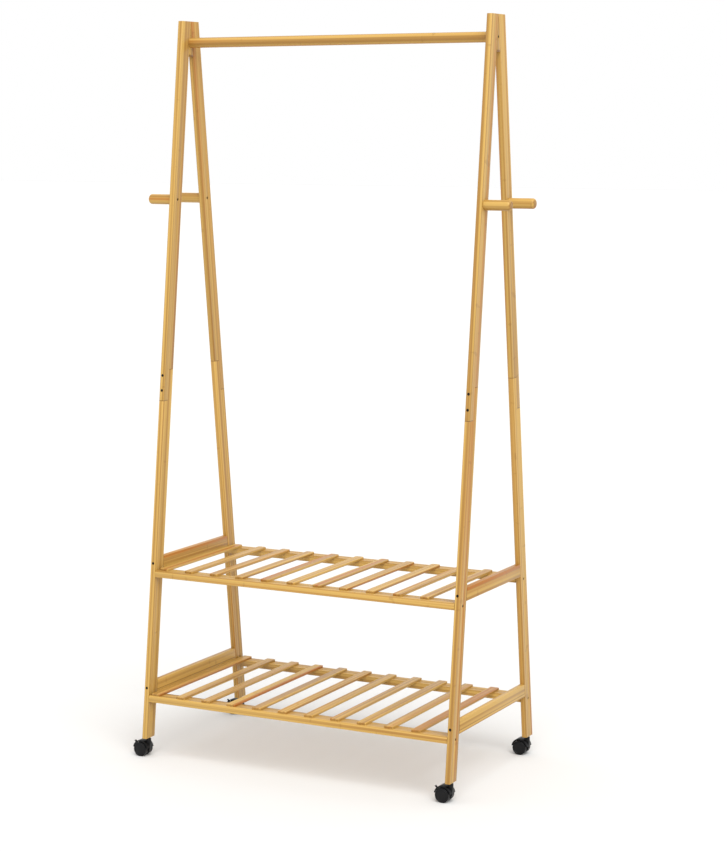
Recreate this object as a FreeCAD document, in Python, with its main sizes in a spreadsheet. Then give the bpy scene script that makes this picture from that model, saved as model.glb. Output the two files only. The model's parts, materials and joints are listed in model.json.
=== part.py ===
import FreeCAD, Part
# Rolling clothes rack: two bamboo A-frames, a hanging rail, coat pegs, two slatted shelves
# and four twin-wheel castors. Millimetres, +Z up, +X along the rail, -Y towards the user.
# The origin is on the floor, midway between the four castors.
import os
import re
import Sketcher

SIZES = {
    # A-frames: two splayed legs each, in a plane at right angles to the rail
    "overall_height": 1600.0,
    "frame_spacing": 735.0,
    "leg_thickness": 12.0,
    "leg_depth": 34.0,
    "leg_edge_radius": 2.5,
    "splay_angle": 6.62,
    "crotch_drop": 5.0,
    "block_length": 71.0,
    # half-lap joint between the upper and the lower section of each leg
    "lap_bottom": 779.0,
    "lap_length": 68.0,
    "lap_screw_low": 23.0,
    "lap_screw_pitch": 32.5,
    # hanging rail and coat pegs
    "rail_drop": 46.0,
    "rail_diameter": 22.0,
    "peg_drop": 385.0,
    "peg_diameter": 22.0,
    "peg_length": 59.0,
    "peg_end_radius": 6.0,
    # shelves: a rail at the front and the rear, slats on the rails, a board at each side
    "upper_shelf_bottom": 395.5,
    "lower_shelf_bottom": 123.0,
    "shelf_rail_height": 14.0,
    "shelf_rail_depth": 34.0,
    "shelf_rail_recess": 0.5,
    "shelf_rail_round": 5.0,
    "small_round": 1.2,
    "slat_width": 21.0,
    "slat_thickness": 5.0,
    "slat_pitch": 63.4,
    "first_slat_gap": 5.0,
    "upper_slat_inset": 11.0,
    "lower_slat_inset": 5.0,
    "upper_slat_corner": 5.0,
    "lower_slat_corner": 1.5,
    "board_height": 28.0,
    "board_screw_rise": 16.0,
    # wood screws with a socket head, sunk in a counterbore
    "screw_radius": 1.75,
    "screw_head_radius": 3.0,
    "screw_head_height": 2.6,
    "screw_recess": 0.8,
    "socket_radius": 1.5,
    "socket_depth": 1.4,
    "screw_tip": 3.0,
    "hole_clearance": 0.1,
    "end_screw_length": 38.0,
    "lap_screw_length": 28.0,
    "board_screw_length": 62.0,
    # brads that hold the slats, driven up through the shelf rails
    "brad_radius": 0.8,
    "brad_head_radius": 1.6,
    "brad_head_height": 0.8,
    "brad_length": 17.0,
    "brad_recess": 0.2,
    "brad_inset": 25.0,
    # castors
    "wheel_radius": 15.5,
    "wheel_trail": 13.5,
    "wheel_clearance": 0.5,
    "wheel_width": 11.8,
    "wheel_rim": 3.0,
    "wheel_wall": 1.7,
    "hub_radius": 5.0,
    "hub_face_gap": 0.4,
    "axle_radius": 2.0,
    "axle_bead": 0.5,
    "axle_bead_width": 1.2,
    "running_clearance": 0.05,
    "web_thickness": 8.0,
    "hood_width": 25.0,
    "hood_clearance": 1.7,
    "hood_wall": 1.4,
    "hood_rise": 1.5,
    "hood_lip_rise": 3.5,
    "boss_radius": 5.2,
    "boss_clearance": 3.0,
    "boss_height": 5.5,
    "boss_root": 4.3,
    "stem_radius": 3.0,
    "spine_wall": 3.0,
    "stem_depth": 3.8,
    "stem_bead": 0.4,
    "stem_bead_height": 0.8,
    "stem_bead_rise": 0.6,
    "collar_gap": 0.5,
    "collar_radius": 4.8,
    "collar_height": 2.0,
    "socket_tube_radius": 4.2,
    "socket_tube_length": 24.0,
    # brake lever: turns on two trunnions in the castor's web
    "brake_pivot_reach": 5.0,
    "brake_pivot_rise": 11.0,
    "trunnion_radius": 1.5,
    "lever_eye_radius": 2.8,
    "lever_arm_width": 4.4,
    "lever_arm_height": 3.0,
    "lever_clearance": 0.5,
    "shoe_width": 18.0,
    "shoe_clearance": 1.2,
    "shoe_thickness": 1.3,
    "pedal_width": 5.5,
    "shoe_side_clearance": 1.2,
    "pedal_thickness": 1.5,
    "pedal_length": 10.0,
    "pedal_angle": 47.0,
}

# Levels and radii that follow from the sizes
LEVELS = {
    "foot_height": "2 * wheel_radius + boss_clearance + boss_height + collar_gap + collar_height",
    "crotch_height": "overall_height - crotch_drop",
    "block_bottom": "crotch_height - block_length",
    "rail_height": "overall_height - rail_drop",
    "peg_height": "overall_height - peg_drop",
    "lap_top": "lap_bottom + lap_length",
    "wheel_face": "web_thickness / 2 + wheel_clearance",
    "wheel_outside": "wheel_face + wheel_width",
    "hood_inner_radius": "wheel_radius + hood_clearance",
    "hood_outer_radius": "hood_inner_radius + hood_wall",
    "boss_bottom": "2 * wheel_radius + boss_clearance",
    "boss_top": "boss_bottom + boss_height",
    "stem_bottom": "boss_bottom - stem_depth",
    "stem_bead_level": "boss_bottom + stem_bead_rise",
    "shoe_inner_radius": "wheel_radius + shoe_clearance",
    "shoe_outer_radius": "shoe_inner_radius + shoe_thickness",
}

doc = FreeCAD.newDocument("clothes_rack")
sheet = doc.addObject("Spreadsheet::Sheet", "Sizes")
for row, (alias, number) in enumerate(SIZES.items(), start=1):
    sheet.set("A%d" % row, alias)
    sheet.set("B%d" % row, str(number))
    sheet.setAlias("B%d" % row, alias)
for row, (alias, formula) in enumerate(LEVELS.items(), start=len(SIZES) + 1):
    sheet.set("A%d" % row, alias)
    sheet.set("B%d" % row, "=" + formula)
    sheet.setAlias("B%d" % row, alias)
doc.recompute()

X_AXIS = FreeCAD.Vector(1, 0, 0)
Y_AXIS = FreeCAD.Vector(0, 1, 0)
Z_AXIS = FreeCAD.Vector(0, 0, 1)
NODES = []


def bound(formula):
    """A formula of named sizes, as an expression on the sheet."""
    def on_sheet(word):
        known = word.group() in SIZES or word.group() in LEVELS
        return "Sizes." + word.group() if known else word.group()
    return re.sub(r"[a-z][a-z_]*", on_sheet, formula)


def value(formula):
    """What a formula of named sizes comes to now."""
    return float(sheet.evalExpression(formula))


def bind(item, sizes):
    """Tie properties of an object to formulas."""
    for name, formula in sizes.items():
        item.setExpression(name, bound(formula))


def place(item, spot, axis=Z_AXIS, turn="0"):
    """Put an object at three formulas, turned about an axis by a fourth."""
    item.Placement = FreeCAD.Placement(FreeCAD.Vector(), FreeCAD.Rotation(axis, value(turn)))
    for letter, formula in zip("xyz", spot):
        item.setExpression("Placement.Base." + letter, bound(formula))
    if turn != "0":
        item.setExpression("Placement.Rotation.Angle", bound(turn))


def node(item, label):
    """Mark an object as a sub-part that is written to its own file."""
    item.Label = label
    NODES.append(item)
    return item


# ---- Part workbench pieces ----

ALONG = {"x": (Y_AXIS, "90"), "y": (X_AXIS, "-90"), "z": (Z_AXIS, "0")}


def cylinder(name, radius, length, spot, along="z"):
    """A cylinder that starts at a spot and runs along a positive axis."""
    item = doc.addObject("Part::Cylinder", name)
    bind(item, {"Radius": radius, "Height": length})
    place(item, spot, *ALONG[along])
    return item


def across(name, radius, width, x, z):
    """A cylinder across the castor: centred on y = 0, with its axis along Y."""
    return cylinder(name, radius, width, (x, "-(%s) / 2" % width, z), "y")


def box(name, sides, spot, axis=Z_AXIS, turn="0"):
    """A box with its lowest corner at a spot."""
    item = doc.addObject("Part::Box", name)
    bind(item, dict(zip(("Length", "Width", "Height"), sides)))
    place(item, spot, axis, turn)
    return item


def fuse(name, items):
    """One solid of several."""
    item = doc.addObject("Part::MultiFuse", name)
    item.Shapes = items
    return item


def common(name, items):
    """What several solids share."""
    item = doc.addObject("Part::MultiCommon", name)
    item.Shapes = items
    return item


def together(name, items):
    """Several separate solids as one object."""
    item = doc.addObject("Part::Compound", name)
    item.Links = items
    return item


def cut(name, base, tools):
    """A solid less one or more others."""
    item = doc.addObject("Part::Cut", name)
    item.Base = base
    item.Tool = tools[0] if len(tools) == 1 else together(name + "_tools", tools)
    return item


def copy_at(name, master, spot, axis=Z_AXIS, turn="0"):
    """Another one of a piece, somewhere else."""
    item = doc.addObject("App::Link", name)
    item.LinkedObject = master
    place(item, spot, axis, turn)
    return item


# ---- PartDesign pieces ----

def plane(body, role):
    """One of a body's own origin planes or axes."""
    return next(item for item in body.Origin.OriginFeatures if item.Role == role)


def sketch_on(body, role):
    """An empty sketch on one of a body's own origin planes."""
    sketch = body.newObject("Sketcher::SketchObject", body.Name + "_sketch")
    sketch.AttachmentSupport = [(plane(body, role), "")]
    sketch.MapMode = "FlatFace"
    return sketch


def outline(body, role, corners):
    """A closed outline whose corners are pairs of formulas."""
    sketch = sketch_on(body, role)
    points = [FreeCAD.Vector(value(a), value(b), 0) for a, b in corners]
    count = len(points)
    for index, point in enumerate(points):
        sketch.addGeometry(Part.LineSegment(point, points[(index + 1) % count]), False)
    for index, pair in enumerate(corners):
        sketch.addConstraint(Sketcher.Constraint("Coincident", index, 2, (index + 1) % count, 1))
        for kind, formula in zip(("DistanceX", "DistanceY"), pair):
            rule = Sketcher.Constraint(kind, -1, 1, index, 1, value(formula))
            sketch.setExpression("Constraints[%d]" % sketch.addConstraint(rule), bound(formula))
    return sketch


def disc(body, role, radius):
    """A circle on the body's origin."""
    sketch = sketch_on(body, role)
    sketch.addGeometry(Part.Circle(FreeCAD.Vector(), Z_AXIS, value(radius)), False)
    sketch.addConstraint(Sketcher.Constraint("Coincident", 0, 3, -1, 1))
    rule = Sketcher.Constraint("Radius", 0, value(radius))
    sketch.setExpression("Constraints[%d]" % sketch.addConstraint(rule), bound(radius))
    return sketch


def pad(body, sketch, length, midplane=True):
    """Push a sketch out to a thickness."""
    feature = body.newObject("PartDesign::Pad", body.Name + "_pad")
    feature.Profile = sketch
    feature.Midplane = midplane
    feature.setExpression("Length", bound(length))
    doc.recompute()
    return feature


def turned(body, sketch):
    """Turn a sketch on the XY plane about the Y axis."""
    feature = body.newObject("PartDesign::Revolution", body.Name + "_turned")
    feature.Profile = sketch
    feature.ReferenceAxis = (sketch, ["V_Axis"])
    feature.Angle = 360.0
    doc.recompute()
    return feature


def round_edges(body, feature, radius, wanted):
    """Round the edges of a feature that a test picks out."""
    names = []
    for index, edge in enumerate(feature.Shape.Edges, start=1):
        if wanted(edge):
            names.append("Edge%d" % index)
    fillet = body.newObject("PartDesign::Fillet", body.Name + "_round")
    fillet.Base = (feature, names)
    fillet.setExpression("Radius", bound(radius))
    doc.recompute()
    return fillet


def runs_along(edge, axis):
    """Whether a straight edge runs along an axis."""
    ends = edge.Vertexes
    if len(ends) < 2:
        return False
    way = ends[1].Point.sub(ends[0].Point)
    return way.cross(axis).Length < 1e-4 * way.Length


# ---- screws, brads and the holes they sit in ----

def screw(name, length):
    """A socket-head wood screw: the wood's face is z = 0 and the tip points down."""
    head_bottom = "-(screw_recess + screw_head_height)"
    head = cylinder(name + "_head", "screw_head_radius", "screw_head_height",
                    ("0", "0", head_bottom))
    shank = cylinder(name + "_shank", "screw_radius",
                     "%s - screw_tip - screw_recess - screw_head_height" % length,
                     ("0", "0", "screw_tip - %s" % length))
    tip = doc.addObject("Part::Cone", name + "_tip")
    bind(tip, {"Radius1": "screw_radius / 4", "Radius2": "screw_radius", "Height": "screw_tip"})
    place(tip, ("0", "0", "-(%s)" % length))
    socket = doc.addObject("Part::Prism", name + "_socket")
    socket.Polygon = 6
    bind(socket, {"Circumradius": "socket_radius", "Height": "socket_depth + 1"})
    place(socket, ("0", "0", "-(screw_recess + socket_depth)"))
    return cut(name, fuse(name + "_blank", [head, shank, tip]), [socket])


def screw_hole(name, length):
    """The counterbored hole for a screw."""
    bore = cylinder(name + "_bore", "screw_radius + hole_clearance", length,
                    ("0", "0", "-(%s)" % length))
    sink = cylinder(name + "_sink", "screw_head_radius + hole_clearance",
                    "screw_recess + screw_head_height + 1",
                    ("0", "0", "-(screw_recess + screw_head_height)"))
    return fuse(name, [bore, sink])


end_screw = screw("end_screw", "end_screw_length")
end_hole = screw_hole("end_hole", "end_screw_length")
lap_screw = screw("lap_screw", "lap_screw_length")
lap_hole = screw_hole("lap_hole", "lap_screw_length")
board_screw = screw("board_screw", "board_screw_length")
board_hole = screw_hole("board_hole", "board_screw_length")

brad_head = cylinder("brad_head", "brad_head_radius", "brad_head_height",
                     ("0", "0", "-(brad_recess + brad_head_height)"))
brad_shank = cylinder("brad_shank", "brad_radius", "brad_length - brad_recess - brad_head_height",
                      ("0", "0", "-brad_length"))
brad = fuse("brad", [brad_head, brad_shank])
brad_sink = cylinder("brad_sink", "brad_head_radius + hole_clearance",
                     "brad_recess + brad_head_height + 1",
                     ("0", "0", "-(brad_recess + brad_head_height)"))
brad_bore = cylinder("brad_bore", "brad_radius + hole_clearance", "brad_length",
                     ("0", "0", "-brad_length"))
brad_hole = fuse("brad_hole", [brad_sink, brad_bore])

FASTENERS = {}


def fasten(group, screw_master, hole_master, spot, axis, turn):
    """Put a fastener of a group in place and return its hole."""
    made = FASTENERS.setdefault(group, [])
    name = "%s_%d" % (group, len(made) + 1)
    made.append(copy_at(name, screw_master, spot, axis, turn))
    return copy_at(name + "_hole", hole_master, spot, axis, turn)


# ---- the A-frames ----

SIDES = (("left", -1), ("right", 1))
ENDS = (("front", -1), ("rear", 1))


def inner(z):
    """How far a leg's inner face is from the middle at a height."""
    return "(crotch_height - (%s)) * tan(splay_angle)" % z


def outer(z):
    """How far a leg's outer face is from the middle at a height."""
    return "(%s + leg_depth / cos(splay_angle))" % inner(z)


def middle(z):
    """How far a leg's centreline is from the middle at a height."""
    return "(%s + leg_depth / cos(splay_angle) / 2)" % inner(z)


def signed(sign, formula):
    """A formula on the negative or the positive side."""
    return "%d * (%s)" % (sign, formula)


SHELVES = (("upper", "upper_shelf_bottom"), ("lower", "lower_shelf_bottom"))


def rail_top(bottom):
    """The level that the slats and the side boards stand on."""
    return "(%s + shelf_rail_height)" % bottom


def leg_section(label, x, end, corners, holes):
    """One section of a leg: its side outline, as thick as the leg, with its long edges rounded."""
    body = doc.addObject("PartDesign::Body", label + "_body")
    sketch = outline(body, "YZ_Plane", [(signed(end, y), z) for y, z in corners])
    blank = pad(body, sketch, "leg_thickness")
    grain = FreeCAD.Vector(0, -end * value("sin(splay_angle)"), value("cos(splay_angle)"))
    longest = 1.5 * value("lap_length")
    round_edges(body, blank, "leg_edge_radius",
                lambda edge: runs_along(edge, grain) and edge.Length > longest)
    place(body, (x, "0", "0"))
    return node(cut(label, body, holes), label)


for side_name, side in SIDES:
    leg_x = signed(side, "frame_spacing / 2")
    face_out = signed(side, "(frame_spacing + leg_thickness) / 2")
    face_in = signed(side, "(frame_spacing - leg_thickness) / 2")
    outward = "%d" % (90 * side)
    inward = "%d" % (-90 * side)

    rail_holes = [fasten("rail_screws", end_screw, end_hole,
                         (face_out, "0", "rail_height"), Y_AXIS, outward)]

    for end_name, end in ENDS:
        name = "%s_%s" % (side_name, end_name)
        from_end = "%d * (90 - splay_angle)" % -end
        peg_y = signed(end, middle("peg_height"))
        peg_holes = [fasten("peg_screws", end_screw, end_hole,
                            (face_in, peg_y, "peg_height"), Y_AXIS, inward)]
        lap_holes = []
        for step in range(2):
            z = "lap_bottom + lap_screw_low + %d * lap_screw_pitch" % step
            lap_holes.append(fasten("lap_screws", lap_screw, lap_hole,
                                    (leg_x, signed(end, outer(z)), z), X_AXIS, from_end))
        shelf_holes = []
        for shelf_name, bottom in SHELVES:
            z = "%s + shelf_rail_height / 2" % bottom
            shelf_holes.append(fasten("shelf_screws", end_screw, end_hole,
                                      (face_out, signed(end, middle(z)), z), Y_AXIS, outward))
            z = "%s + board_screw_rise" % rail_top(bottom)
            shelf_holes.append(fasten("board_screws", board_screw, board_hole,
                                      (leg_x, signed(end, outer(z)), z), X_AXIS, from_end))

        leg_section(name + "_leg_upper", leg_x, end, [
            (outer("lap_bottom"), "lap_bottom"),
            (middle("lap_bottom"), "lap_bottom"),
            (middle("lap_top"), "lap_top"),
            (inner("lap_top"), "lap_top"),
            ("0", "crotch_height"),
            ("0", "overall_height"),
            (outer("overall_height"), "overall_height")],
            peg_holes + lap_holes)

        foot_y = signed(end, middle("foot_height"))
        socket_hole = cylinder(name + "_socket_hole", "socket_tube_radius", "socket_tube_length + 1",
                               (leg_x, foot_y, "foot_height - 1"))
        leg_section(name + "_leg_lower", leg_x, end, [
            (outer("foot_height"), "foot_height"),
            (inner("foot_height"), "foot_height"),
            (inner("lap_top"), "lap_top"),
            (middle("lap_top"), "lap_top"),
            (middle("lap_bottom"), "lap_bottom"),
            (outer("lap_bottom"), "lap_bottom")],
            lap_holes + shelf_holes + [socket_hole])

        # coat peg: a turned dowel, screwed on from the leg's inner face
        peg = doc.addObject("PartDesign::Body", name + "_peg_body")
        dowel = pad(peg, disc(peg, "XY_Plane", "peg_diameter / 2"), "peg_length", midplane=False)
        round_edges(peg, dowel, "peg_end_radius",
                    lambda edge: edge.BoundBox.ZMin > value("peg_length / 2"))
        place(peg, (face_out, peg_y, "peg_height"), Y_AXIS, outward)
        node(cut(name + "_peg", peg, peg_holes), name + "_peg")

    # tapered block that fills the space between the tops of the two legs
    block = doc.addObject("PartDesign::Body", side_name + "_block_body")
    pad(block, outline(block, "YZ_Plane", [
        (signed(-1, inner("block_bottom")), "block_bottom"),
        (inner("block_bottom"), "block_bottom"),
        ("0", "crotch_height")]), "leg_thickness")
    place(block, (leg_x, "0", "0"))
    node(cut(side_name + "_apex_block", block, rail_holes), side_name + "_apex_block")

# hanging rail: a dowel between the A-frames
rail = doc.addObject("PartDesign::Body", "hanging_rail_body")
pad(rail, disc(rail, "YZ_Plane", "rail_diameter / 2"), "frame_spacing - leg_thickness")
place(rail, ("0", "0", "rail_height"))
rail_bores = [copy_at("rail_bore_%s" % name, end_hole,
                      (signed(side, "(frame_spacing + leg_thickness) / 2"), "0", "rail_height"),
                      Y_AXIS, "%d" % (90 * side)) for name, side in SIDES]
node(cut("hanging_rail", rail, rail_bores), "hanging_rail")


# ---- the shelves ----

SLATS = 1 + int(value("(frame_spacing - leg_thickness - first_slat_gap - slat_width) / slat_pitch"))


def slat_x(index):
    """The middle of a slat, counted from the left."""
    return "first_slat_gap + (slat_width + leg_thickness - frame_spacing) / 2 + %d * slat_pitch" % index


for shelf_name, bottom in SHELVES:
    rail_middle = "%s + shelf_rail_height / 2" % bottom
    rail_front = "(%s - shelf_rail_recess)" % outer(rail_middle)
    brad_line = "(%s - brad_inset)" % rail_front
    slat_end = "(%s - %s_slat_inset)" % (rail_front, shelf_name)
    brad_holes = {}
    for end_name, end in ENDS:
        brad_holes[end] = []
        for index in range(SLATS):
            brad_holes[end].append(fasten(
                shelf_name + "_brads", brad, brad_hole,
                (slat_x(index), signed(end, brad_line), bottom), X_AXIS, "180"))

    # shelf rail: a flat batten with a well-rounded outer top edge
    for end_name, end in ENDS:
        label = "%s_%s_rail" % (shelf_name, end_name)
        batten = doc.addObject("PartDesign::Body", label + "_body")
        blank = pad(batten, outline(batten, "YZ_Plane", [
            (signed(end, rail_front), bottom),
            (signed(end, rail_front + " - shelf_rail_depth"), bottom),
            (signed(end, rail_front + " - shelf_rail_depth"), rail_top(bottom)),
            (signed(end, rail_front), rail_top(bottom))]), "frame_spacing - leg_thickness")
        centre_y = end * value(rail_front + " - shelf_rail_depth / 2")
        top_z = value(rail_top(bottom))

        def is_outer_top(edge):
            spot = edge.CenterOfMass
            return (runs_along(edge, X_AXIS) and abs(spot.z - top_z) < 0.01
                    and end * (spot.y - centre_y) > 0)

        rounded = round_edges(batten, blank, "shelf_rail_round", is_outer_top)
        round_edges(batten, rounded, "small_round",
                    lambda edge: runs_along(edge, X_AXIS) and edge.CenterOfMass.z < top_z - 10)
        screw_holes = [
            copy_at("%s_bore_%s" % (label, side_name), end_hole,
                    (signed(side, "(frame_spacing + leg_thickness) / 2"),
                     signed(end, middle(rail_middle)), rail_middle), Y_AXIS, "%d" % (90 * side))
            for side_name, side in SIDES]
        node(cut(label, batten, screw_holes + brad_holes[end]), label)

    # slat: a thin strip with rounded corners and top edges
    strip = doc.addObject("PartDesign::Body", shelf_name + "_slat_body")
    blank = pad(strip, outline(strip, "XY_Plane", [
        ("-slat_width / 2", "-" + slat_end), ("slat_width / 2", "-" + slat_end),
        ("slat_width / 2", slat_end), ("-slat_width / 2", slat_end)]),
        "slat_thickness", midplane=False)
    rounded = round_edges(strip, blank, shelf_name + "_slat_corner",
                          lambda edge: runs_along(edge, Z_AXIS))
    round_edges(strip, rounded, "small_round",
                lambda edge: edge.BoundBox.ZMin > value("slat_thickness") - 0.01)
    bores = [copy_at("%s_slat_bore_%s" % (shelf_name, end_name), brad_hole,
                     ("0", signed(end, brad_line), "-shelf_rail_height"), X_AXIS, "180")
             for end_name, end in ENDS]
    slat = cut(shelf_name + "_slat", strip, bores)
    slats = [copy_at("%s_slat_%d" % (shelf_name, index + 1), slat,
                     (slat_x(index), "0", rail_top(bottom)))
             for index in range(SLATS)]
    node(together(shelf_name + "_slats", slats), shelf_name + "_slats")

    # side board: between the two legs of an A-frame, flush with their faces
    board_top = "%s + board_height" % rail_top(bottom)
    for side_name, side in SIDES:
        label = "%s_%s_board" % (shelf_name, side_name)
        board = doc.addObject("PartDesign::Body", label + "_body")
        blank = pad(board, outline(board, "YZ_Plane", [
            (signed(-1, inner(rail_top(bottom))), rail_top(bottom)),
            (inner(rail_top(bottom)), rail_top(bottom)),
            (inner(board_top), board_top),
            (signed(-1, inner(board_top)), board_top)]), "leg_thickness")
        round_edges(board, blank, "small_round", lambda edge: runs_along(edge, Y_AXIS))
        place(board, (signed(side, "frame_spacing / 2"), "0", "0"))
        z = "%s + board_screw_rise" % rail_top(bottom)
        bores = [copy_at("%s_bore_%s" % (label, end_name), board_hole,
                         (signed(side, "frame_spacing / 2"), signed(end, outer(z)), z),
                         X_AXIS, "%d * (90 - splay_angle)" % -end) for end_name, end in ENDS]
        node(cut(label, board, bores), label)

for group, made in FASTENERS.items():
    node(together(group, made), group)


# ---- the castors ----

AXLE_X = "-wheel_trail"
PIVOT_X = "(-wheel_trail - brake_pivot_reach)"
PIVOT_Z = "(wheel_radius + brake_pivot_rise)"
REACH = "2 * hood_outer_radius"


def castor_housing(name, braked):
    """Hood over both wheels, the web between them and the boss that turns on the stem."""
    hood = common(name + "_hood", [
        cut(name + "_shell",
            across(name + "_crown", "hood_outer_radius", "hood_width", AXLE_X,
                   "wheel_radius + hood_rise"),
            [across(name + "_hollow", "hood_inner_radius", "hood_width + 2", AXLE_X, "wheel_radius")]),
        box(name + "_hood_span", (REACH + " + 2", "hood_width", REACH),
            (AXLE_X + " - hood_outer_radius - 1", "-hood_width / 2", "wheel_radius + hood_lip_rise"))])
    web = common(name + "_web", [
        across(name + "_web_disc", "hood_inner_radius + 0.5", "web_thickness", AXLE_X, "wheel_radius"),
        box(name + "_web_span", ("brake_pivot_reach + wheel_trail + 4.5 + boss_radius", "web_thickness",
                                 REACH),
            (PIVOT_X + " - 4.5", "-web_thickness / 2", "wheel_radius - 6"))])
    boss = cylinder(name + "_boss", "boss_radius", "boss_height + boss_root",
                    ("0", "0", "boss_bottom - boss_root"))
    spine = common(name + "_spine", [
        cylinder(name + "_spine_round", "stem_radius + spine_wall", "boss_top - wheel_radius",
                 ("0", "0", "wheel_radius")),
        box(name + "_spine_flat", ("2 * boss_radius", "web_thickness", REACH),
            ("-boss_radius", "-web_thickness / 2", "wheel_radius"))])
    bore = "stem_radius + running_clearance"
    tools = [
        cylinder(name + "_stem_bore", bore, "boss_top - stem_bottom + 1.2",
                 ("0", "0", "stem_bottom - 0.2")),
        cylinder(name + "_bead_groove", bore + " + stem_bead", "stem_bead_height + 0.4",
                 ("0", "0", "stem_bead_level - 0.2")),
        across(name + "_axle_hole", "axle_radius", "web_thickness + 2", AXLE_X, "wheel_radius")]
    if braked:
        tools.append(common(name + "_lever_slot", [
            across(name + "_slot_round", "hood_inner_radius", "lever_arm_width + lever_clearance",
                   AXLE_X, "wheel_radius"),
            box(name + "_slot_box", (REACH, "lever_arm_width + lever_clearance", REACH),
                (PIVOT_X + " + 3.5 - 2 * hood_outer_radius", "-(lever_arm_width + lever_clearance) / 2",
                 PIVOT_Z + " - 4.5"))]))
        tools.append(box(name + "_shoe_slot", ("12", "shoe_width + shoe_side_clearance", "8.5"),
                         ("-wheel_trail - shoe_outer_radius - 4.3",
                          "-(shoe_width + shoe_side_clearance) / 2", "wheel_radius + 5.6")))
        tools.append(across(name + "_trunnion_hole", "trunnion_radius + running_clearance",
                            "web_thickness + 2", PIVOT_X, PIVOT_Z))
    return cut(name, fuse(name + "_blank", [hood, web, boss, spine]), tools)


def brake_lever(name):
    """Eye on two trunnions, an arm out to a shoe over both treads, and a pedal through the hood."""
    eye = across(name + "_eye", "lever_eye_radius", "lever_arm_width", PIVOT_X, PIVOT_Z)
    trunnions = across(name + "_trunnions", "trunnion_radius", "web_thickness", PIVOT_X, PIVOT_Z)
    arm_length = "shoe_outer_radius - brake_pivot_reach - 2.2"
    arm = box(name + "_arm", (arm_length, "lever_arm_width", "lever_arm_height"),
              ("%s - (%s)" % (PIVOT_X, arm_length), "-lever_arm_width / 2", PIVOT_Z + " - 3.6"))
    shoe = common(name + "_shoe", [
        cut(name + "_shoe_ring",
            across(name + "_shoe_outer", "shoe_outer_radius", "shoe_width", AXLE_X, "wheel_radius"),
            [across(name + "_shoe_inner", "shoe_inner_radius", "shoe_width + 2", AXLE_X,
                    "wheel_radius")]),
        box(name + "_shoe_span", ("10", "shoe_width", "4"),
            ("-wheel_trail - shoe_outer_radius - 1.3", "-shoe_width / 2", "wheel_radius + 7.5"))])
    pedal = box(name + "_pedal", ("pedal_length", "pedal_width", "pedal_thickness"),
                ("-wheel_trail - shoe_outer_radius + 4.5", "-pedal_width / 2", "wheel_radius + 8.6"),
                Y_AXIS, "180 + pedal_angle")
    return fuse(name, [eye, trunnions, arm, shoe, pedal])


def castor_wheel(name, end):
    """One wheel of the pair: rim, closed outer wall and a hub that snaps over the axle's bead."""
    body = doc.addObject("PartDesign::Body", name + "_body")
    face = "wheel_face"
    out = "wheel_outside"
    bore = "axle_radius + running_clearance"
    groove = bore + " + axle_bead"
    hub_face = "web_thickness / 2 + hub_face_gap"
    bead = "(wheel_outside - wheel_wall - 1.7)"
    corners = [
        (bore, hub_face),
        ("hub_radius", hub_face),
        ("hub_radius", "%s - wheel_wall - 1" % out),
        ("wheel_radius - wheel_rim", "%s - wheel_wall - 1" % out),
        ("wheel_radius - wheel_rim", face),
        ("wheel_radius - 1", face),
        ("wheel_radius", face + " + 1"),
        ("wheel_radius", out + " - 2"),
        ("wheel_radius - 1.2", out + " - 1"),
        ("wheel_radius / 2", out + " - 0.2"),
        ("0", out),
        ("0", "%s - wheel_wall" % out),
        (bore, "%s - wheel_wall" % out),
        (bore, bead + " + axle_bead_width / 2 + 0.2"),
        (groove, bead + " + axle_bead_width / 2 + 0.2"),
        (groove, bead + " - axle_bead_width / 2 - 0.2"),
        (bore, bead + " - axle_bead_width / 2 - 0.2")]
    turned(body, outline(body, "XY_Plane", [(r, signed(end, y)) for r, y in corners]))
    return body


def castor_axle(name):
    """A pin pressed through the web, with a bead near each end that keeps its wheel on."""
    bead = "(wheel_outside - wheel_wall - 1.7)"
    pin = across(name + "_pin", "axle_radius", "2 * (wheel_outside - wheel_wall - 0.3)",
                 AXLE_X, "wheel_radius")
    beads = [cylinder("%s_bead_%s" % (name, end_name), "axle_radius + axle_bead", "axle_bead_width",
                      (AXLE_X, "%s - axle_bead_width / 2" % signed(end, bead), "wheel_radius"), "y")
             for end_name, end in ENDS]
    return fuse(name, [pin] + beads)


def castor_stem(name):
    """A pin that stands in the leg, with a collar under the foot and a bead inside the housing."""
    top = "foot_height + socket_tube_length"
    pin = cylinder(name + "_pin", "stem_radius", top + " - stem_bottom", ("0", "0", "stem_bottom"))
    collar = cylinder(name + "_collar", "collar_radius", "collar_height",
                      ("0", "0", "foot_height - collar_height"))
    bead = cylinder(name + "_bead", "stem_radius + stem_bead", "stem_bead_height",
                    ("0", "0", "stem_bead_level"))
    return fuse(name, [pin, collar, bead])


socket_outside = cylinder("socket_outside", "socket_tube_radius", "socket_tube_length",
                          ("0", "0", "foot_height"))
socket_inside = cylinder("socket_inside", "stem_radius", "socket_tube_length + 2",
                         ("0", "0", "foot_height - 1"))
socket_tube = cut("socket_tube", socket_outside, [socket_inside])
sockets = []

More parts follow.
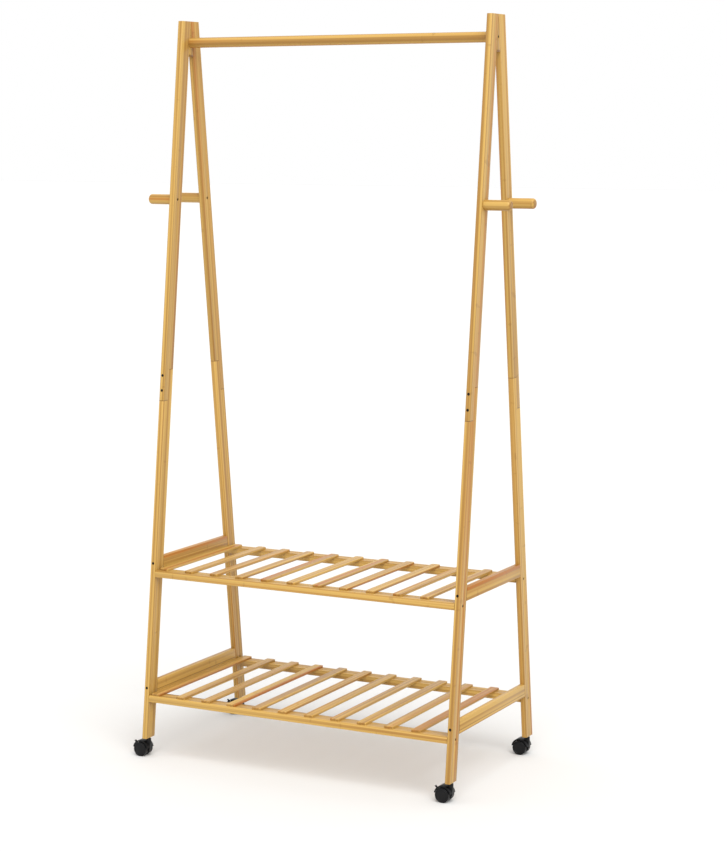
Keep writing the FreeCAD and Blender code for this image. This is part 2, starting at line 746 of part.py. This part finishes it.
UNBRAKED = "right_rear"
for side_name, side in SIDES:
    for end_name, end in ENDS:
        corner = "%s_%s" % (side_name, end_name)
        spot = (signed(side, "frame_spacing / 2"), signed(end, middle("foot_height")), "0")
        sockets.append(copy_at(corner + "_socket", socket_tube, spot))
        pieces = {
            "_castor_stem": castor_stem(corner + "_stem"),
            "_castor_housing": castor_housing(corner + "_housing", corner != UNBRAKED),
            "_castor_axle": castor_axle(corner + "_axle")}
        if corner != UNBRAKED:
            pieces["_castor_brake"] = brake_lever(corner + "_brake")
        for ending, piece in pieces.items():
            place(piece, spot)
            node(piece, corner + ending)
        for wheel_name, wheel_side in ENDS:
            label = "%s_castor_%s_wheel" % (corner, wheel_name)
            wheel = castor_wheel(label, wheel_side)
            place(wheel, ("%s - wheel_trail" % spot[0], spot[1], "wheel_radius"))
            node(wheel, label)
node(together("castor_sockets", sockets), "castor_sockets")

# ---- check and write ----

doc.recompute()
for item in doc.Objects:
    if "Invalid" in item.State or "Error" in item.State:
        raise RuntimeError("%s failed: %s" % (item.Label, item.State))
os.makedirs("parts", exist_ok=True)
for item in NODES:
    if item.Shape.isNull() or not item.Shape.isValid() or not item.Shape.Solids:
        raise RuntimeError("%s has no valid solid" % item.Label)
for item in NODES:
    item.Shape.exportStep("parts/%s.step" % item.Label)
print("%d nodes, %d solids" % (len(NODES), sum(len(item.Shape.Solids) for item in NODES)))
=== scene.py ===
import json
import math

import bmesh
import bpy
import numpy as np
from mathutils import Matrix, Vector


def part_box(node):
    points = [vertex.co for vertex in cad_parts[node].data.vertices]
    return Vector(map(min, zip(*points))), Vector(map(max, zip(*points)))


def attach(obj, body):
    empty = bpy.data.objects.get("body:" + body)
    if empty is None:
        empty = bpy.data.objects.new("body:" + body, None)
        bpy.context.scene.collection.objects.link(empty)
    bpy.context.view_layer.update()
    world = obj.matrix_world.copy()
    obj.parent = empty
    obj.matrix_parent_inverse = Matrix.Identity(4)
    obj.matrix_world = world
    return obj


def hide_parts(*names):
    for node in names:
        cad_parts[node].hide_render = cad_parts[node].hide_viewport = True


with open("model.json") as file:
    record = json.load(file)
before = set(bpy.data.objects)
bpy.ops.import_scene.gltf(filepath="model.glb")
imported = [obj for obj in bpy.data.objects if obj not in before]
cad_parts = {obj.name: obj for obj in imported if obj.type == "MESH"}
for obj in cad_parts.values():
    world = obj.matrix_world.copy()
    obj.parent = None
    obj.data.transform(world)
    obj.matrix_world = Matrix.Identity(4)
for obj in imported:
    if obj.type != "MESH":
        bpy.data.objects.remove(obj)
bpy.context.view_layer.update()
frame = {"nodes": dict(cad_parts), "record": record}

# The studio: a pale paper floor under an even white sky, and one broad soft lamp high up in front
# and to the right, so far off that its light is even. The camera stands off the rack's right front
# corner, at the height of a person's shoulders.

FLOOR_PAPER = "#D8D7D5"
FLOOR_REACH = 40.0    # metres from the middle of the rack to each edge of the paper
SKY_STRENGTH = 1.0
LAMP_STRENGTH = 2.4   # watts a square metre
LAMP_SPREAD = math.radians(50)   # how wide the lamp is, as seen from the rack
LAMP_HEIGHT = math.radians(50)
LAMP_TURN = math.radians(36)
CAMERA_SPOT = (2.2437, -4.1812, 1.3759)
CAMERA_TURN = math.radians(27.54)
CAMERA_DOWN = math.radians(7.72)
CAMERA_LENS = 93.74   # mm, on a film 36 mm wide


def linear(hex_colour):
    """An sRGB hex colour as linear red, green, blue and alpha."""
    parts = [int(hex_colour[i:i + 2], 16) / 255 for i in (1, 3, 5)]
    light = [c / 12.92 if c <= 0.04045 else ((c + 0.055) / 1.055) ** 2.4 for c in parts]
    return (*light, 1.0)


def add(tree, kind, inputs=None, **settings):
    """Add a node with its settings. An input is a value, or the output socket that feeds it."""
    made = tree.nodes.new(kind)
    for name, setting in settings.items():
        setattr(made, name, setting)
    for name, source in (inputs or {}).items():
        sockets = [s for s in made.inputs if s.enabled and name in (s.name, s.identifier)]
        socket = sockets[0] if sockets else made.inputs[name]
        if isinstance(source, bpy.types.NodeSocket):
            tree.links.new(source, socket)
        else:
            socket.default_value = source
    return made


def blank_material(name):
    """A material with nothing in its node tree yet."""
    material = bpy.data.materials.new(name)
    material.use_nodes = True
    material.node_tree.nodes.clear()
    return material, material.node_tree


def as_object(name, points, faces, material):
    """A smooth mesh object at the origin, from an array of points and its faces."""
    mesh = bpy.data.meshes.new(name)
    mesh.from_pydata(points.tolist(), [], faces)
    mesh.polygons.foreach_set("use_smooth", np.full(len(mesh.polygons), True))
    mesh.materials.append(material)
    mesh.update()
    made = bpy.data.objects.new(name, mesh)
    bpy.context.scene.collection.objects.link(made)
    return made


paper, tree = blank_material("white studio paper")
shade = add(tree, "ShaderNodeBsdfPrincipled", {
    "Base Color": linear(FLOOR_PAPER), "Roughness": 0.9, "Specular IOR Level": 0.1})
add(tree, "ShaderNodeOutputMaterial", {"Surface": shade.outputs["BSDF"]})
corners = FLOOR_REACH * np.array([[-1, -1, 0], [1, -1, 0], [1, 1, 0], [-1, 1, 0]])
as_object("studio_floor", corners, [(0, 1, 2, 3)], paper)

world = bpy.data.worlds.new("studio")
bpy.context.scene.world = world
world.use_nodes = True
world.node_tree.nodes.clear()
sky = add(world.node_tree, "ShaderNodeBackground",
          {"Color": (1, 1, 1, 1), "Strength": SKY_STRENGTH})
add(world.node_tree, "ShaderNodeOutputWorld", {"Surface": sky.outputs["Background"]})

lamp = bpy.data.lights.new("studio_lamp", "SUN")
lamp.energy = LAMP_STRENGTH
lamp.angle = LAMP_SPREAD
held = bpy.data.objects.new("studio_lamp", lamp)
held.rotation_euler = (math.pi / 2 - LAMP_HEIGHT, 0, LAMP_TURN)
bpy.context.scene.collection.objects.link(held)

camera = bpy.data.cameras.new("camera")
camera.lens = CAMERA_LENS
camera.sensor_width = 36.0
camera.clip_end = 100.0
stand = bpy.data.objects.new("camera", camera)
stand.location = CAMERA_SPOT
stand.rotation_euler = (math.pi / 2 - CAMERA_DOWN, 0.0, CAMERA_TURN)
bpy.context.scene.collection.objects.link(stand)
bpy.context.scene.camera = stand
bpy.context.scene.view_settings.view_transform = "Standard"

# The legs: each is an upper and a lower section with a half-lap between them, 12 by 34 mm, planed
# from bamboo canes that are split, glued up, steamed to a honey brown, sanded and lacquered. They
# show long soft streaks, a few orange, fine dark fibres, and dots where fibres are cut across.

SPLAY = math.radians(6.62)
HONEY = "#9E7436"
PALE = "#C19B51"
AMBER = "#A65E17"
FIBRE = "#6C3F14"
SEAM = "#4A2A0C"
SEAM_HALF = 0.0013            # half its width: a real seam, 0.3 mm wide, would be too fine to see
CANE = (1.3, 0.0055)          # length and width of a streak: a planed cane is 5.5 mm wide
HEART = (2.4, 0.0132)         # of an orange band
FIBRE_MARK = (0.5, 0.0009)    # of a dark fibre: three times as wide as a real one, so that it shows
FIBRE_RELIEF = (0.25, 0.00135)
CANE_KNOT = (0.012, 0.024)    # of the brown mark where a cane had a joint
PORE = (0.0012, 0.0012)       # of a fibre that is cut across
SEED_STEP = (1.37, 0.61, 0.83)      # from one seed to the next, through the noise
SLAT_STEP = (0.731, 0.317, 0.573)   # from one slat to the next


def streaks(tree, along, size, detail=1.0, warp=0.0):
    """Noise drawn out along the grain: one blotch has about this length and width, in metres."""
    length, width = size
    squeezed = add(tree, "ShaderNodeVectorMath", {0: along, 1: (1 / length, 1 / width, 1 / width)},
                   operation="MULTIPLY")
    return add(tree, "ShaderNodeTexNoise", {
        "Vector": squeezed.outputs[0], "Scale": 1.0, "Detail": detail,
        "Distortion": warp}).outputs["Fac"]


def ramp(tree, source, *stops):
    """A colour ramp from stops of position and colour, as hex or as one grey level."""
    made = add(tree, "ShaderNodeValToRGB", {"Fac": source})
    while len(made.color_ramp.elements) < len(stops):
        made.color_ramp.elements.new(0.5)
    for element, (position, colour) in zip(made.color_ramp.elements, stops):
        element.position = position
        element.color = linear(colour) if isinstance(colour, str) else (colour, colour, colour, 1)
    return made.outputs["Color"]


def blend(tree, amount, below, above):
    """One colour over another, by an amount. The node's third output is the one for colours."""
    return add(tree, "ShaderNodeMix",
               {"Factor_Float": amount, "A_Color": below, "B_Color": above},
               data_type="RGBA").outputs[2]


def bamboo(name, grain, tilt=0.0, seed=0.0, amber=0.4, pitch=None, stripe=None):
    """Lacquered bamboo with its grain along x, y or z, tilted about X. More amber widens the orange
    bands, a pitch makes each slat a new cut, and a stripe is a level band, given by its height,
    half width and colour."""
    material, tree = blank_material(name)
    place = add(tree, "ShaderNodeTexCoord").outputs["Object"]
    level = add(tree, "ShaderNodeVectorRotate", {"Vector": place, "Angle": tilt},
                rotation_type="X_AXIS").outputs["Vector"]
    parts = add(tree, "ShaderNodeSeparateXYZ", {"Vector": level})
    order = {"x": "XYZ", "y": "YXZ", "z": "ZXY"}[grain]
    along = add(tree, "ShaderNodeCombineXYZ",
                {"X": parts.outputs[order[0]], "Y": parts.outputs[order[1]],
                 "Z": parts.outputs[order[2]]}).outputs["Vector"]
    shift = tuple(seed * part for part in SEED_STEP)
    along = add(tree, "ShaderNodeVectorMath", {0: along, 1: shift}, operation="ADD").outputs[0]
    if pitch:
        column = add(tree, "ShaderNodeMath", {0: parts.outputs["X"], 1: pitch}, operation="DIVIDE")
        column = add(tree, "ShaderNodeMath", {0: column.outputs[0]}, operation="FLOOR")
        step = add(tree, "ShaderNodeVectorMath", {0: column.outputs[0], 1: SLAT_STEP},
                   operation="MULTIPLY")
        along = add(tree, "ShaderNodeVectorMath", {0: along, 1: step.outputs[0]},
                    operation="ADD").outputs[0]

    cane = streaks(tree, along, CANE, 1.5)
    colour = ramp(tree, cane, (0.38, HONEY), (0.60, PALE))
    heart = ramp(tree, streaks(tree, along, HEART, 1.0, 0.2),
                 (0.56 - 0.12 * amber, 0.0), (0.74 - 0.12 * amber, 0.85))
    colour = blend(tree, heart, colour, linear(AMBER))
    fibres = ramp(tree, streaks(tree, along, FIBRE_MARK, 2.0), (0.60, 0.0), (0.80, 0.40))
    colour = blend(tree, fibres, colour, linear(FIBRE))
    knots = ramp(tree, streaks(tree, along, CANE_KNOT, 0.0), (0.76, 0.0), (0.82, 0.22))
    colour = blend(tree, knots, colour, linear(FIBRE))
    if stripe:
        middle, half, tint = stripe
        height = add(tree, "ShaderNodeSeparateXYZ", {"Vector": place}).outputs["Z"]
        away = add(tree, "ShaderNodeMath", {0: height, 1: middle}, operation="SUBTRACT")
        away = add(tree, "ShaderNodeMath", {0: away.outputs[0]}, operation="ABSOLUTE")
        band = add(tree, "ShaderNodeMapRange", {
            "Value": away.outputs[0], "From Min": 0.6 * half, "From Max": 1.4 * half,
            "To Min": 0.75, "To Max": 0.0}).outputs[0]
        colour = blend(tree, band, colour, linear(tint))

    facing = add(tree, "ShaderNodeVectorMath", {
        0: add(tree, "ShaderNodeNewGeometry").outputs["Normal"],
        1: {"x": (1, 0, 0), "y": (0, 1, 0), "z": (0, 0, 1)}[grain]}, operation="DOT_PRODUCT")
    across = add(tree, "ShaderNodeMath", {0: facing.outputs["Value"]}, operation="ABSOLUTE")
    cut_end = ramp(tree, across.outputs[0], (0.80, 0.0), (0.93, 1.0))
    pores = ramp(tree, streaks(tree, along, PORE, 1.0), (0.40, FIBRE), (0.62, HONEY))
    colour = blend(tree, cut_end, colour, blend(tree, 0.55, colour, pores))

    sheen = add(tree, "ShaderNodeMapRange", {
        "Value": cane, "From Min": 0.3, "From Max": 0.7, "To Min": 0.36, "To Max": 0.46}).outputs[0]
    relief = add(tree, "ShaderNodeBump", {
        "Height": streaks(tree, along, FIBRE_RELIEF, 2.0), "Strength": 0.15,
        "Distance": 0.0002})
    shade = add(tree, "ShaderNodeBsdfPrincipled", {
        "Base Color": colour, "Roughness": sheen, "IOR": 1.5, "Specular IOR Level": 0.3,
        "Normal": relief.outputs["Normal"], "Coat Weight": 0.08, "Coat Roughness": 0.25})
    add(tree, "ShaderNodeOutputMaterial", {"Surface": shade.outputs["BSDF"]})
    return material


def put(piece, node, *others):
    """The piece stands for CAD nodes: it hides them and rides on their body."""
    bodies = frame["record"]["behaviour"]["bodies"]
    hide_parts(node, *others)
    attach(piece, next(body for body, nodes in bodies.items() if node in nodes))


def eased(node, material, edge=0.0004, angle=32.0):
    """A copy of a CAD node whose sharp edges are eased, as sanding or a mould leaves them."""
    mesh = frame["nodes"][node].data.copy()
    mesh.name = node + "_eased"
    shape = bmesh.new()
    shape.from_mesh(mesh)
    bmesh.ops.remove_doubles(shape, verts=shape.verts, dist=1e-6)
    bmesh.ops.dissolve_limit(shape, angle_limit=math.radians(0.3), verts=shape.verts,
                             edges=shape.edges)
    shape.to_mesh(mesh)
    shape.free()
    mesh.polygons.foreach_set("use_smooth", np.full(len(mesh.polygons), True))
    mesh.materials.clear()
    mesh.materials.append(material)
    piece = bpy.data.objects.new(node + "_eased", mesh)
    bpy.context.scene.collection.objects.link(piece)
    bevel = piece.modifiers.new("eased edges", "BEVEL")
    bevel.width = edge
    bevel.segments = 2
    bevel.limit_method = "ANGLE"
    bevel.angle_limit = math.radians(angle)
    bevel.harden_normals = True
    put(piece, node)
    return piece


for side, first in (("left", 0.4), ("right", 3.5)):
    for end, tilt in (("front", SPLAY), ("rear", -SPLAY)):
        for part, step in (("upper", 0.0), ("lower", 0.9)):
            node = "%s_%s_leg_%s" % (side, end, part)
            seed = first + step + (1.3 if end == "rear" else 0.0)
            low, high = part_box(node)
            seam = (low[2] if part == "upper" else high[2], SEAM_HALF, SEAM)
            eased(node, bamboo("lacquered bamboo " + node, "z", tilt, seed, 0.1, stripe=seam))

# The apex blocks: tapered pieces of bamboo, glued between the tops of the two legs of each A-frame.
# The hanging rail's screw goes through them. Their lower end is painted dark, as painted shade for
# the shadow in the slit between the legs under the block.

BLOCK_PAINTED_SHADE_HALF = 0.004

for node, seed in (("left_apex_block", 11.3), ("right_apex_block", 12.9)):
    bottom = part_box(node)[0][2]
    # The stripe at the bottom of each block is painted shade: a dark band that stands in for the
    # shadowed crotch.
    eased(node, bamboo("lacquered bamboo " + node, "z", 0.0, seed, -0.6,
                       stripe=(bottom, BLOCK_PAINTED_SHADE_HALF, FIBRE)))

# The hanging rail: a 22 mm dowel turned from laminated bamboo, with a touch of sandpaper on the two
# ends that butt against the legs.


def turned(name, outline, centre, axis, material, around=96):
    """A closed surface turned about a line through the centre, along x or y. The outline's rows are
    distance along the axis and radius, and each makes a ring of points
    (distance, radius * cos(angle), radius * sin(angle))."""
    outline = np.asarray(outline)
    angle = np.linspace(0, 2 * np.pi, around, endpoint=False)
    rings = outline[1:-1]
    points = np.stack([np.repeat(rings[:, 0], around), np.outer(rings[:, 1], np.cos(angle)).ravel(),
                       np.outer(rings[:, 1], np.sin(angle)).ravel()], axis=1)
    poles = [[outline[0, 0], 0, 0], [outline[-1, 0], 0, 0]]
    points = np.vstack([points, poles])
    if axis == "y":
        points = points[:, [1, 0, 2]] * (1, 1, -1)
    start = np.arange(around)
    after = (start + 1) % around
    rows = np.arange(len(rings) - 1)[:, None] * around
    bands = np.stack([rows + start, rows + after, rows + after + around, rows + start + around],
                     axis=2).reshape(-1, 4)
    last = len(points) - 2 - around
    first_cap = np.stack([np.full(around, len(points) - 2), after, start], axis=1)
    last_cap = np.stack([np.full(around, len(points) - 1), last + start, last + after], axis=1)
    faces = bands.tolist() + first_cap.tolist() + last_cap.tolist()
    piece = as_object(name, points + centre, faces, material)
    shape = bmesh.new()
    shape.from_mesh(piece.data)
    bmesh.ops.recalc_face_normals(shape, faces=shape.faces)
    shape.to_mesh(piece.data)
    shape.free()
    piece.data.set_sharp_from_angle(angle=math.radians(40))
    return piece


def arc(middle, radius, begin, finish, steps=9):
    """Points on an arc, middle + radius * (cos(angle), sin(angle)), with the angle in degrees from
    begin to finish."""
    angle = np.radians(np.linspace(begin, finish, steps))
    return np.asarray(middle) + radius * np.stack([np.cos(angle), np.sin(angle)], axis=1)


low, high = np.array(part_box("hanging_rail"))
RAIL_RADIUS = (high[2] - low[2]) / 2
SANDED = 0.0004
outline = [(low[0], 0), (low[0], RAIL_RADIUS - SANDED), (low[0] + SANDED, RAIL_RADIUS),
           (high[0] - SANDED, RAIL_RADIUS), (high[0], RAIL_RADIUS - SANDED), (high[0], 0)]
put(turned("hanging_rail_dowel", outline, (0, *(low + high)[1:] / 2), "x",
           bamboo("lacquered bamboo hanging rail", "x", 0.0, 21.7, 0.6)), "hanging_rail")

# The coat pegs: short lengths of the same dowel, rounded over at the outer end and sanded. Each is
# screwed to its leg from behind.

PEG_ROUND = 0.006
for seed, node in enumerate(
        ("left_front_peg", "left_rear_peg", "right_front_peg", "right_rear_peg")):
    low, high = np.array(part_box(node))
    way = 1 if node.startswith("right") else -1
    base = low[0] if way > 0 else high[0]
    length, radius = high[0] - low[0], (high[2] - low[2]) / 2
    outline = np.vstack([
        [(0, 0), (0, radius - SANDED), (SANDED, radius)],
        arc((length - PEG_ROUND, radius - PEG_ROUND), PEG_ROUND, 90, 0, 13), [(length, 0)]])
    put(turned(node + "_dowel", outline * (way, 1), (base, *(low + high)[1:] / 2), "x",
               bamboo("lacquered bamboo " + node, "x", 0.0, 31.9 + 1.7 * seed, 0.0)), node)

# The shelf rails: battens 34 mm deep and 14 mm high, laid flat, with the outer top edge well
# rounded. They join the two A-frames, and the slats lie on them.

for seed, node in enumerate(
        ("upper_front_rail", "upper_rear_rail", "lower_front_rail", "lower_rear_rail")):
    eased(node, bamboo("lacquered bamboo " + node, "x", 0.0, 41.3 + 1.9 * seed, -1.0))

# The side boards: 28 mm high and set on edge between the legs. The upper ones show a wide orange
# strip along the top, and the lower ones a fine dark glue line.

for node, rise, half, tint in (
        ("upper_left_board", 0.0250, 0.0030, AMBER), ("upper_right_board", 0.0245, 0.0035, AMBER),
        ("lower_left_board", 0.0072, 0.0006, FIBRE), ("lower_right_board", 0.0072, 0.0006, FIBRE)):
    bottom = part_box(node)[0][2]
    eased(node, bamboo("lacquered bamboo " + node, "y", 0.0, 51.1 + 37 * rise, -0.8,
                       stripe=(bottom + rise, half, tint)))

# The slats: thin strips laid from the front shelf rail to the rear one. Each is cut from its own
# length of bamboo, so its streaks don't run on into the next.

SLAT_PITCH = 0.0634

for node, seed in (("upper_slats", 61.3), ("lower_slats", 63.8)):
    eased(node, bamboo("lacquered bamboo " + node, "y", 0.0, seed, 0.2, pitch=SLAT_PITCH))

# The screws: steel with a black oxide, a round head and a six-sided socket. They are sunk a little
# below the wood.

GRIT = 1400.0          # spots a metre in the unevenness of a finish
GLOSS_SPREAD = 0.06    # how far the roughness goes up and down


def plain(name, colour, rough, metallic=0.0, specular=0.5, mottle=0.0):
    """A plain finish with a fine unevenness in its gloss."""
    material, tree = blank_material(name)
    place = add(tree, "ShaderNodeTexCoord").outputs["Object"]
    grain = add(tree, "ShaderNodeTexNoise", {"Vector": place, "Scale": GRIT, "Detail": 2.0})
    gloss = add(tree, "ShaderNodeMapRange", {
        "Value": grain.outputs["Fac"], "From Min": 0.3, "From Max": 0.7,
        "To Min": rough - GLOSS_SPREAD, "To Max": rough + GLOSS_SPREAD}).outputs[0]
    relief = add(tree, "ShaderNodeBump", {
        "Height": grain.outputs["Fac"], "Strength": mottle, "Distance": 0.0001})
    shade = add(tree, "ShaderNodeBsdfPrincipled", {
        "Base Color": linear(colour), "Roughness": gloss, "Metallic": metallic,
        "Specular IOR Level": specular, "Normal": relief.outputs["Normal"]})
    add(tree, "ShaderNodeOutputMaterial", {"Surface": shade.outputs["BSDF"]})
    return material


oxide = plain("black oxide steel", "#100E0C", 0.55, 0.2, 0.3)
for node in ("rail_screws", "peg_screws", "lap_screws", "shelf_screws", "board_screws"):
    frame["nodes"][node].data.materials.clear()
    frame["nodes"][node].data.materials.append(oxide)

# The hidden steel: brads under the shelf rails, tubes in the feet, and the castors' axles, all
# zinc-plated, a pale grey with a soft gloss. The castors' stems are black like the screws.

MOULDED_EDGE = 0.0003

zinc = plain("zinc-plated steel", "#A9AAA8", 0.35, 1.0)
CORNERS = [side + end for side in ("left_", "right_") for end in ("front_", "rear_")]
for node in (["upper_brads", "lower_brads", "castor_sockets"]
             + [corner + "castor_axle" for corner in CORNERS]):
    frame["nodes"][node].data.materials.clear()
    frame["nodes"][node].data.materials.append(zinc)
for corner in CORNERS:
    eased(corner + "castor_stem", oxide, MOULDED_EDGE)

# The castor housings: each is one moulding of black nylon, with a hood over both wheels, a web
# between them and a round boss under the foot. Three have a brake lever in the same nylon.

nylon = plain("moulded black nylon", "#08080A", 0.40, 0.0, 0.25, 0.05)
for corner in CORNERS:
    for node in ("castor_housing", "castor_brake"):
        if corner + node in frame["nodes"]:
            eased(corner + node, nylon, MOULDED_EDGE)

# The castor wheels: a pair on each axle, moulded in nylon, each with a closed outer face that is
# slightly domed inside a fine ring, and an open back with a hub round the axle.

DOME_RADIUS = 0.046
DOME_EDGE = 15.2      # degrees about the dome's middle, from its crown out to the ring
SHOULDER_DROP = 0.0013   # from the crown of the dome back to the shoulder
SHOULDER = 0.0012
RING_HEIGHT = 0.0004
RING_INSIDE = 0.0028     # from the tread in to the ring's two edges
RING_OUTSIDE = 0.0026
BACK_ROUND = 0.0008
RIM_WALL = 0.003
FACE_WALL = 0.0027
EDGE_CUT = 0.0004
HUB_RADIUS = 0.005
HUB_BACK = 0.0001        # how far the hub lies inside the wheel's back
HUB_CUT = 0.0003
BORE_RADIUS = 0.00205
BORE_CUT = 0.00015       # how wide and how deep the edge of the bore is broken
BORE_CUT_DEPTH = 0.0002
BORE_END = 0.0017        # from the end of the bore to the crown

for corner in CORNERS:
    for end, way in (("front", -1), ("rear", 1)):
        node = "%scastor_%s_wheel" % (corner, end)
        low, high = np.array(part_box(node))
        radius, depth = (high[2] - low[2]) / 2, high[1] - low[1]
        rim, face = radius - RIM_WALL, depth - SHOULDER_DROP
        outline = np.vstack([
            [(depth, 0)],
            arc((depth - DOME_RADIUS, 0), DOME_RADIUS, 1, DOME_EDGE, 7),
            [(face + RING_HEIGHT, radius - RING_INSIDE), (face, radius - RING_OUTSIDE)],
            arc((face - SHOULDER, radius - SHOULDER), SHOULDER, 0, 90, 7),
            arc((BACK_ROUND, radius - BACK_ROUND), BACK_ROUND, 90, 180, 6),
            [(0, rim + EDGE_CUT), (EDGE_CUT, rim), (depth - FACE_WALL, rim),
             (depth - FACE_WALL, HUB_RADIUS), (EDGE_CUT, HUB_RADIUS),
             (HUB_BACK, HUB_RADIUS - HUB_CUT), (HUB_BACK, BORE_RADIUS + BORE_CUT),
             (HUB_BACK + BORE_CUT_DEPTH, BORE_RADIUS),
             (depth - BORE_END, BORE_RADIUS), (depth - BORE_END, 0)]])
        middle = (low + high) / 2
        middle[1] = low[1] if way > 0 else high[1]
        put(turned(node + "_moulding", outline * (way, 1), middle, "y", nylon), node)
